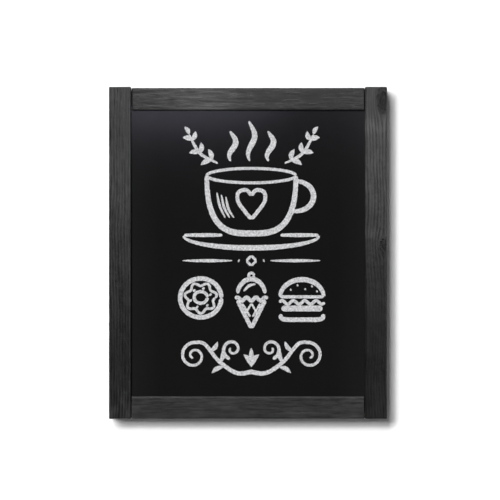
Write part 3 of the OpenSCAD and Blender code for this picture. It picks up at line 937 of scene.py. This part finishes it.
def draw_steam():
    strokes = []
    for x, low, high in ((-34, 160, 214), (0, 160, 232), (34, 160, 214)):
        strokes.append((wave((x, low), (x, high), 6, 1.05, 60, 0.5), swelling(9, 0.25)))
    return strokes


def draw_sprig(root, bend, tip, leaves):
    """A curved stem from root to tip, with pairs of leaves along it and one at its end."""
    stem = smooth([root, bend, tip], 40)
    strokes = [(stem, swelling(5, 0.5))]
    for number in range(leaves):
        at = int((0.22 + 0.62 * number / (leaves - 1)) * (len(stem) - 1))
        (x, z), (next_x, next_z) = stem[at : at + 2]
        ahead = math.degrees(math.atan2(next_z - z, next_x - x))
        for side in (-1, 1):
            strokes.append(leaf(stem[at], ahead + side * 48, 21 - 2 * number, 9))
    ahead = math.degrees(math.atan2(tip[1] - bend[1], tip[0] - bend[0]))
    strokes.append(leaf(tip, ahead, 16, 8))
    return strokes


def draw_sprigs():
    right = draw_sprig((60, 156), (92, 174), (112, 208), 3)
    return [*right, *[(mirrored(points), width) for points, width in right]]


def draw_divider(z):
    strokes = []
    for side in (-1, 1):
        strokes.append((line((side * 34, z), (side * 124, z)), swelling(5, 0.25)))
        strokes.append((line((side * 21, z - 0.5), (side * 24, z + 0.5), 6), even(6)))
    diamond = [(0, z + 9), (9, z), (0, z - 9), (-9, z), (0, z + 9)]
    for a, b in zip(diamond, diamond[1:]):
        strokes.append((line(a, b, 14), even(4)))
    return strokes


def draw_doughnut(x, z):
    strokes = [
        (arc((x, z), (37, 35), 0, 360, 90), even(7)),
        (arc((x, z + 1), (12, 10.5), 0, 360, 50), even(5)),
    ]
    icing = []
    for a in np.radians(np.linspace(0, 360, 120)):
        r = 26 + 3.4 * math.sin(7 * a)
        icing.append((x + r * math.cos(a), z + 0.95 * r * math.sin(a)))
    strokes.append((icing, even(4)))
    for turn in (20, 75, 130, 195, 250, 310):
        a = math.radians(turn)
        dx, dz = 18.5 * math.cos(a), 17.5 * math.sin(a)
        strokes.append((line((x + dx - 2, z + dz - 2), (x + dx + 2, z + dz + 2), 6), even(3.4)))
    return strokes


def draw_ice_cream(x, z):
    strokes = [
        (line((x - 25, z - 2), (x, z - 52)), even(6.5)),
        (line((x, z - 52), (x + 25, z - 2)), even(6.5)),
        (wave((x - 29, z), (x + 29, z), 3.2, 3.5, 60), even(6)),
        (arc((x, z + 6), (25, 30), 8, 172, 50), swelling(7.5, 0.7)),
        (arc((x, z + 42), (5, 5), 0, 360, 24), even(4.5)),
        (smooth([(x - 14, z + 14), (x - 4, z + 24), (x + 8, z + 27)], 20), swelling(4.5)),
    ]
    for shift in (-12, 4):
        strokes.append((line((x + shift - 4, z - 8), (x + shift + 10, z - 32), 16), even(3.2)))
        strokes.append((line((x - shift + 4, z - 8), (x - shift - 10, z - 32), 16), even(3.2)))
    return strokes


def draw_burger(x, z):
    base = [(x - 38, z - 27), (x - 34, z - 36), (x, z - 37), (x + 34, z - 36), (x + 38, z - 27)]
    strokes = [
        (arc((x, z + 4), (39, 31), 0, 180, 60), swelling(8, 0.7)),
        (line((x - 39, z + 4), (x + 39, z + 4)), even(5)),
        (wave((x - 41, z - 6), (x + 41, z - 6), 3.2, 4, 70), even(5)),
        (line((x - 37, z - 17), (x + 37, z - 17)), even(9)),
        (smooth(base, 50), even(7)),
    ]
    for dx, dz in ((-20, 16), (-8, 24), (6, 17), (18, 22), (27, 13)):
        strokes.append((line((x + dx - 1.5, z + dz), (x + dx + 1.5, z + dz + 1.5), 6), even(3.6)))
    return strokes


def draw_scroll(z):
    """Two mirrored scrolls that meet at a bud, with leaves along their stems."""
    strokes = []
    stem = smooth([(-3, z - 30), (26, z - 33), (58, z - 12), (84, z + 19), (103, z + 22)], 50)
    curl = spiral((103, z - 2), 24, 4, 90, -430, 120)
    inner = spiral((34, z + 10), 18, 3.5, -75, 400, 90)
    for flip in (lambda p: p, mirrored):
        strokes.append((flip(stem + curl[1:]), lambda t: 8 - 4 * t))
        strokes.append((flip(inner), lambda t: 6.5 - 2.5 * t))
        for x, up, angle, length in ((56, -14, 100, 24), (74, 6, 128, 22), (50, -22, -28, 24)):
            points, width = leaf((x, z + up), angle, length, 8)
            strokes.append((flip(points), width))
        points, width = leaf((1, z - 20), 58, 24, 9)
        strokes.append((flip(points), width))
    strokes.append((line((0, z - 22), (0, z + 12)), swelling(8, 0.15)))
    return strokes


def drawing():
    return [
        *draw_steam(),
        *draw_sprigs(),
        *draw_cup(),
        *draw_divider(-19),
        *draw_doughnut(-91, -86),
        *draw_ice_cream(0, -88),
        *draw_burger(91, -88),
        *draw_scroll(-188),
    ]


def ribbon(points, width, lift, chance):
    """Points and faces of one closed flat stroke, ragged at its sides and round at its ends. Its front is
    lift metres proud of the board.
    """
    path = [Vector(p) for p in points]
    lengths = np.cumsum([0.0] + [(b - a).length for a, b in zip(path, path[1:])])
    total = lengths[-1]
    count = max(6, round(total / STROKE_STEP))
    where = np.linspace(0, total, count)
    xs = np.interp(where, lengths, [p.x for p in path])
    zs = np.interp(where, lengths, [p.y for p in path])
    verts, faces = [], []
    front, back = SURFACE_LOW.y - lift, SURFACE_LOW.y - CHALK_GAP * MM
    for i in range(count):
        a, b = max(0, i - 1), min(count - 1, i + 1)
        along = Vector((xs[b] - xs[a], zs[b] - zs[a])).normalized()
        across = Vector((-along.y, along.x))
        full = width(where[i] / total)
        from_end = min(where[i], total - where[i]) / (full / 2)
        cap = math.sqrt(max(0.06, 1 - max(0.0, 1 - from_end) ** 2))
        for sign in (1, -1):
            half = max(LEAST_HALF, full / 2 * cap + chance.uniform(-STROKE_RAGGED, STROKE_RAGGED))
            x = (DRAW_X + xs[i] + sign * across.x * half) * MM
            z = (DRAW_Z + zs[i] + sign * across.y * half) * MM
            verts.append((x, back, z))
            verts.append((x, front, z))
    for i in range(count - 1):
        a, b = 4 * i, 4 * (i + 1)
        faces += [
            [a + 1, a + 3, b + 3, b + 1],
            [a, b, b + 2, a + 2],
            [a, a + 1, b + 1, b],
            [a + 2, b + 2, b + 3, a + 3],
        ]
    end = 4 * (count - 1)
    faces += [[0, 2, 3, 1], [end, end + 1, end + 3, end + 2]]
    return verts, faces


def make_drawing():
    chance = random.Random(7)
    verts, faces = [], []
    for number, (points, width) in enumerate(drawing()):
        lift = (CHALK_T + CHALK_STEP * (number % CHALK_LEVELS)) * MM
        new_verts, new_faces = ribbon(points, width, lift, chance)
        faces += [[i + len(verts) for i in face] for face in new_faces]
        verts += new_verts
    mesh = bpy.data.meshes.new("chalk_drawing")
    mesh.from_pydata(verts, [], faces)
    face_outward(mesh)
    piece = add_piece("chalk_drawing", mesh)
    mesh.materials.append(chalk_line())
    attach(piece, "frame")


# Hardware -----------------------------------------------------------------------------------------

# Triangle corners nearer than this are joined, so that the bevel finds the edges between them
WELD_REACH = 0.002 * MM
SOFT_EDGE = 0.18 * MM
SOFT_EDGE_ANGLE = math.radians(40)


def paint_nodes():
    """Gives every CAD node that stays its material, and softens the edges of metal and rubber."""
    materials = {
        "bare_wood": beech(),
        "writing_surface": chalk_laminate(),
        "hardboard": hardboard(),
        "magnet": nickel(),
        "rubber": soft_rubber(),
        "felt": wool_felt(),
        "zinc_steel": zinc_steel(),
    }
    for part in frame["record"]["subparts"]:
        node = frame["nodes"][part["node"]]
        slot = part["material_slot"]
        if node.hide_render or slot not in materials:
            continue
        node.data.materials.clear()
        node.data.materials.append(materials[slot])
        if slot in ("zinc_steel", "magnet", "rubber"):
            weld = node.modifiers.new("weld", "WELD")
            weld.merge_threshold = WELD_REACH
            bevel = node.modifiers.new("bevel", "BEVEL")
            bevel.width = SOFT_EDGE
            bevel.segments = 2
            bevel.limit_method = "ANGLE"
            bevel.angle_limit = SOFT_EDGE_ANGLE


make_camera()
make_studio()
make_woodwork()
make_drawing()
paint_nodes()
